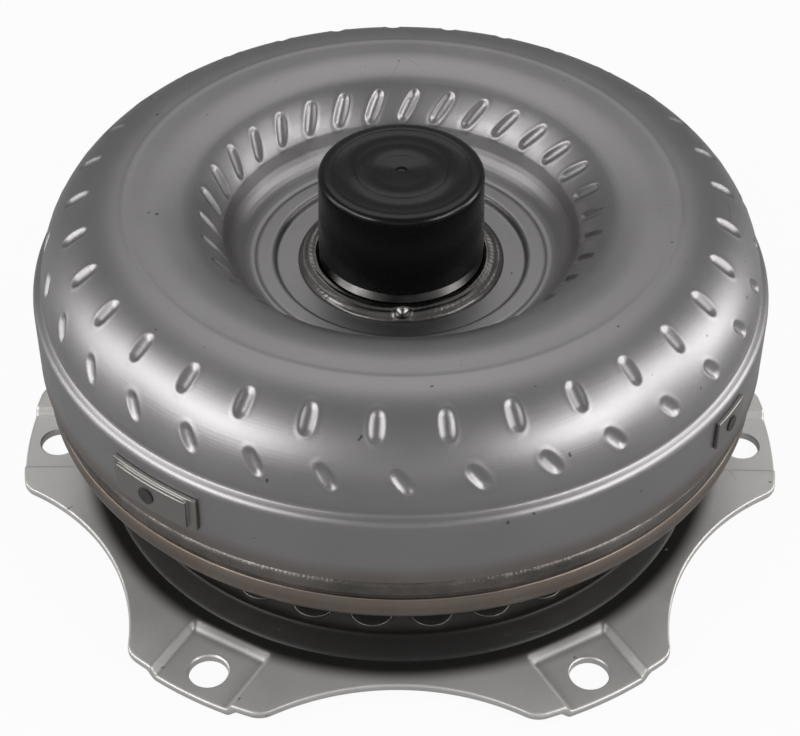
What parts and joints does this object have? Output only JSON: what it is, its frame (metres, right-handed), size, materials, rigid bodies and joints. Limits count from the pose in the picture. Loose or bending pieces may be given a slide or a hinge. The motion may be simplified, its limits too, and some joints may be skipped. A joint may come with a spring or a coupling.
{
  "type": "torque converter",
  "caption": "Welded steel torque converter with a six-ear drive plate, bladed impeller, turbine, stator clutch, lock-up piston, spring damper and a cap over its hub.",
  "frame": {"origin": "on the rotation axis, at the engine-side face of the six ear pads", "axes": "+Z along the rotation axis towards the hub journal and its cap; +X through one ear hole"},
  "size_m": [0.3, 0.2822, 0.1396],
  "materials": {
    "steel_sheet": "satin",
    "steel_plate": "satin",
    "weld_metal": "rough",
    "steel_ground": "polished",
    "blade_sheet": "satin",
    "aluminium_cast": "satin",
    "cage_brass": "satin",
    "friction": "matt",
    "plastic_black": "gloss",
    "rubber": "matt",
    "spring_steel": "satin"
  },
  "bodies": {
    "housing": {"front_cover": "steel_sheet", "pilot_boss": "steel_plate", "drive_plate": "steel_plate", "plate_pads": "steel_plate", "plate_weld": "weld_metal", "impeller_shell": "steel_sheet", "rim_weld": "weld_metal", "hub_weld": "weld_metal", "impeller_hub": "steel_ground", "impeller_blades": "blade_sheet", "impeller_core_ring": "blade_sheet", "balance_weights": "steel_sheet", "weight_welds": "weld_metal"},
    "turbine": {"turbine_shell": "steel_sheet", "turbine_blades": "blade_sheet", "turbine_core_ring": "blade_sheet", "turbine_hub": "steel_ground", "turbine_rivets": "steel_ground", "turbine_thrust_race": "steel_ground", "piston_seal": "rubber", "damper_output_plate": "steel_sheet"},
    "damper_input": {"damper_plate_front": "steel_sheet", "damper_plate_rear": "steel_sheet", "damper_rivets": "steel_ground", "damper_springs": "spring_steel"},
    "piston": {"lockup_piston": "steel_sheet", "friction_lining": "friction", "piston_tabs": "steel_sheet"},
    "stator": {"stator_wheel": "aluminium_cast", "stator_outer_race": "steel_ground", "stator_rollers": "steel_ground", "roller_springs": "spring_steel", "stator_retainers": "steel_sheet"},
    "stator_hub": {"stator_inner_race": "steel_ground"},
    "rear_bearing": {"rear_cage": "cage_brass", "rear_needles": "steel_ground"},
    "mid_bearing": {"mid_cage": "cage_brass", "mid_needles": "steel_ground"},
    "front_bearing": {"front_cage": "cage_brass", "front_needles": "steel_ground"},
    "cap": {"transport_cap": "plastic_black"}
  },
  "joints": [
    {"name": "turbine_spin", "type": "hinge", "parent": "housing", "child": "turbine", "pos_m": [0, 0, 0.05], "axis": [0, 0, 1], "continuous": true},
    {"name": "damper_windup", "type": "hinge", "parent": "turbine", "child": "damper_input", "pos_m": [0, 0, 0.042], "axis": [0, 0, 1], "range_deg": [-4, 4], "deforming": ["damper_springs"]},
    {"name": "piston_apply", "type": "slide", "parent": "damper_input", "child": "piston", "axis": [0, 0, -1], "range_m": [0, 0.0009]},
    {"name": "stator_hub_spin", "type": "hinge", "parent": "housing", "child": "stator_hub", "pos_m": [0, 0, 0.087], "axis": [0, 0, 1], "continuous": true},
    {"name": "stator_freewheel", "type": "hinge", "parent": "stator_hub", "child": "stator", "pos_m": [0, 0, 0.087], "axis": [0, 0, 1], "range_deg": [0, 350]},
    {"name": "rear_bearing_spin", "type": "hinge", "parent": "housing", "child": "rear_bearing", "pos_m": [0, 0, 0.093], "axis": [0, 0, 1], "continuous": true},
    {"name": "mid_bearing_spin", "type": "hinge", "parent": "housing", "child": "mid_bearing", "pos_m": [0, 0, 0.082], "axis": [0, 0, 1], "continuous": true},
    {"name": "front_bearing_spin", "type": "hinge", "parent": "housing", "child": "front_bearing", "pos_m": [0, 0, 0.021], "axis": [0, 0, 1], "continuous": true},
    {"name": "cap_lift", "type": "slide", "parent": "housing", "child": "cap", "axis": [0, 0, 1], "range_m": [0, 0.12]}
  ],
  "couplings": [
    {"joint": "rear_bearing_spin", "follows": "stator_hub_spin", "ratio": 0.5},
    {"joint": "mid_bearing_spin", "follows": "turbine_spin", "ratio": 0.5},
    {"joint": "front_bearing_spin", "follows": "turbine_spin", "ratio": 0.5}
  ]
}
